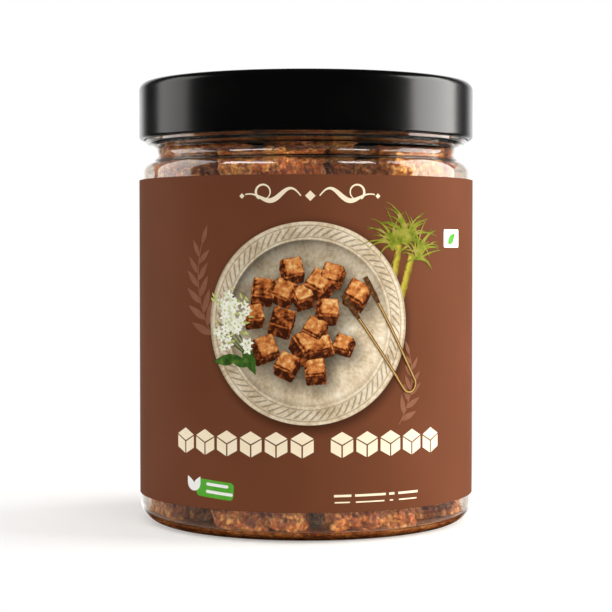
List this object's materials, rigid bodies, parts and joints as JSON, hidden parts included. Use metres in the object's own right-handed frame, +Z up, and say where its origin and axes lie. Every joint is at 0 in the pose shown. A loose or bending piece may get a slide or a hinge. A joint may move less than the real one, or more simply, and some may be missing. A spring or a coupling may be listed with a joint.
{
  "type": "jar of jaggery cubes",
  "caption": "Clear round screw-top jar with a black lid and a brown wrap label, filled with jaggery cubes.",
  "frame": {"origin": "centre of the flat ring the jar stands on", "axes": "+Z up through the lid, the label's front faces -Y, +X to the right of someone facing the label"},
  "size_m": [0.094, 0.094, 0.122],
  "materials": {
    "clear_pet": "clear smooth blow-moulded plastic",
    "black_cap": "glossy black moulded polypropylene",
    "printed_label": "satin printed film, dark brown with plain artwork",
    "jaggery": "rough granular golden-brown sugar"
  },
  "bodies": {
    "root": {"jar": "clear_pet", "lid": "black_cap", "label": "printed_label", "jaggery_cubes": "jaggery"}
  },
  "joints": []
}
